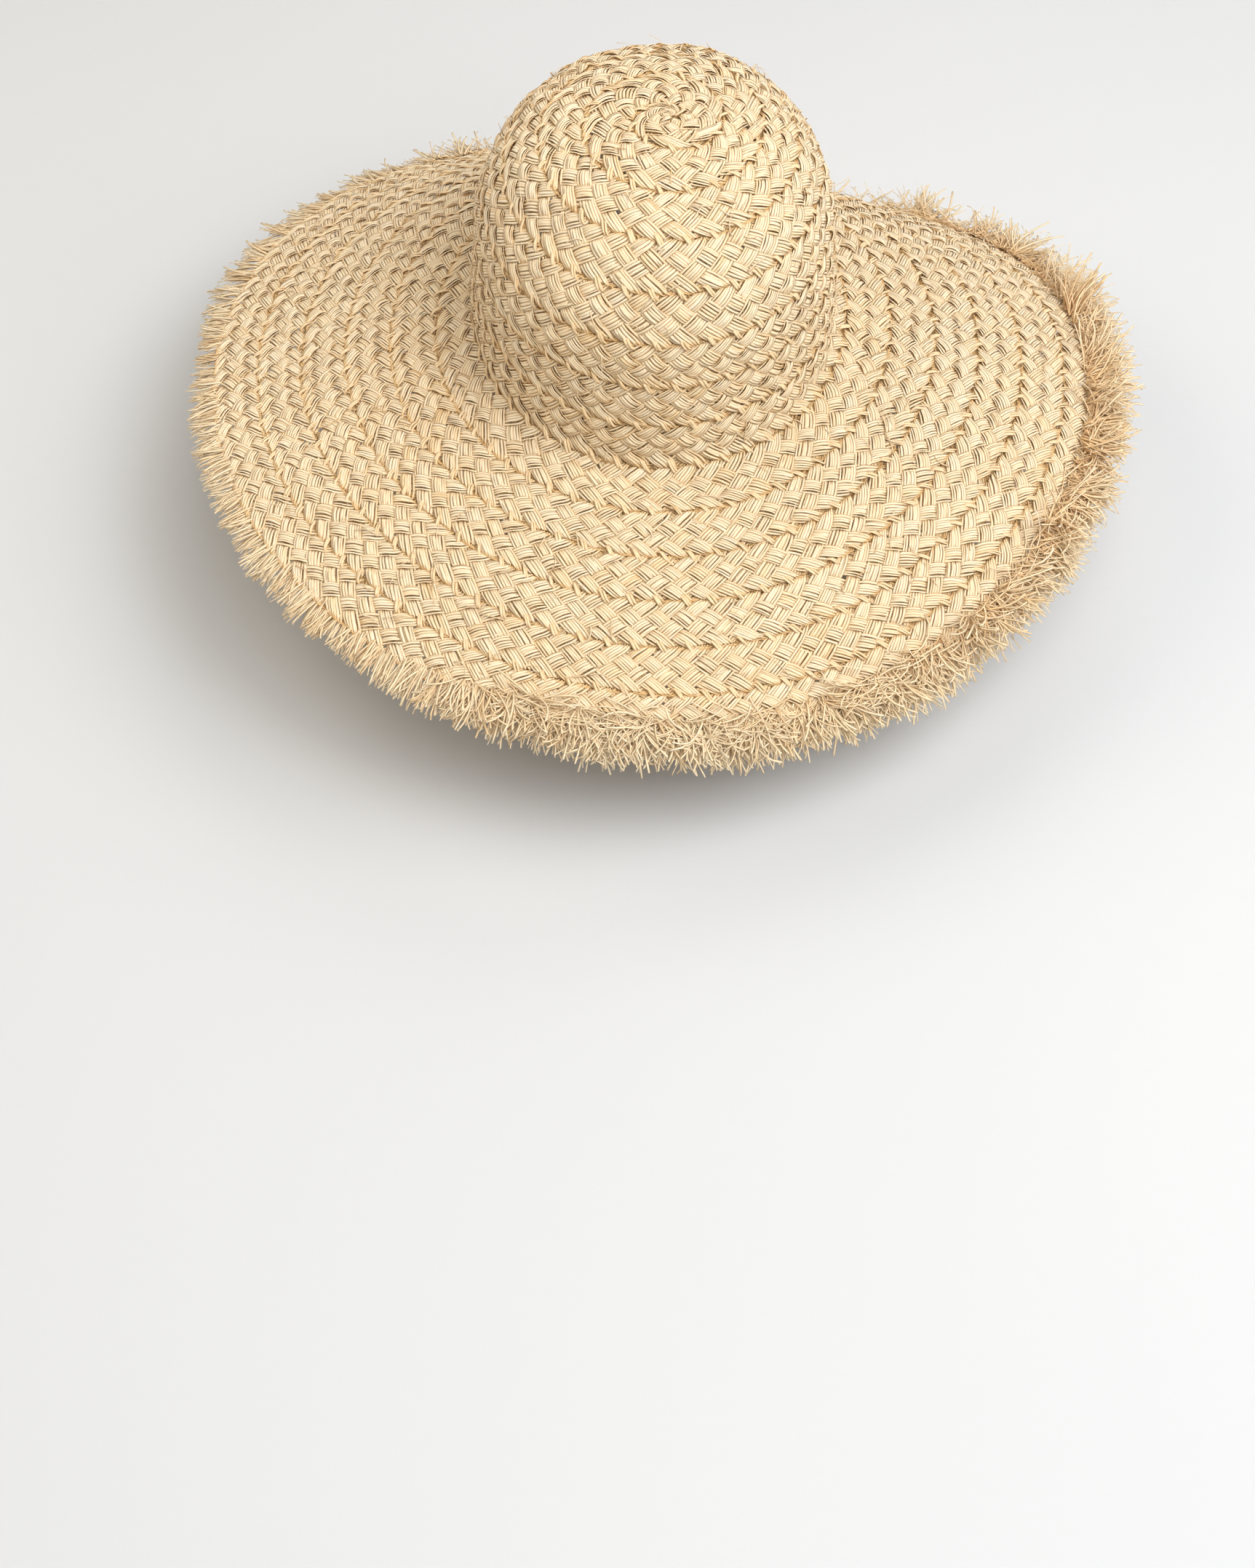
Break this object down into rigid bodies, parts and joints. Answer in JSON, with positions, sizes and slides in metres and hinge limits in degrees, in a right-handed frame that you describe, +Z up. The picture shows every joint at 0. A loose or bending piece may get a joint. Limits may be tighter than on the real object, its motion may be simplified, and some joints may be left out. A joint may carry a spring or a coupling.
{
  "type": "straw sun hat",
  "caption": "Wide-brimmed sun hat of one coiled flat raffia plait, with a round crown, a soft wavy brim with a fringed edge and a ribbon sweatband inside.",
  "frame": {"origin": "centre of the head opening, in the plane where the crown's side would meet the brim", "axes": "+Z up towards the crown's tip, -Y towards the wearer's face, +X towards the wearer's left"},
  "size_m": [0.468, 0.455, 0.2173],
  "materials": {
    "raffia_plait": "natural raffia, matt with a soft silky sheen",
    "lacing_strand": "natural raffia strand, twisted, matt",
    "raffia_fringe": "loose raffia ends, matt with a soft silky sheen",
    "cotton_ribbon": "ribbed cotton ribbon, matt",
    "sewing_thread": "cotton thread, matt"
  },
  "bodies": {
    "root": {"crown_tip": "raffia_plait", "crown_row_1": "raffia_plait", "crown_row_2": "raffia_plait", "crown_row_3": "raffia_plait", "crown_row_4": "raffia_plait", "crown_row_5": "raffia_plait", "crown_row_6": "raffia_plait", "crown_row_7": "raffia_plait", "brim_row_1": "raffia_plait", "brim_row_2": "raffia_plait", "brim_row_3": "raffia_plait", "brim_row_4": "raffia_plait", "brim_row_5": "raffia_plait", "brim_edge_row": "raffia_plait", "crown_lacing": "lacing_strand", "brim_lacing": "lacing_strand", "fringe": "raffia_fringe", "sweatband": "cotton_ribbon", "sweatband_stitches": "sewing_thread"}
  },
  "joints": []
}
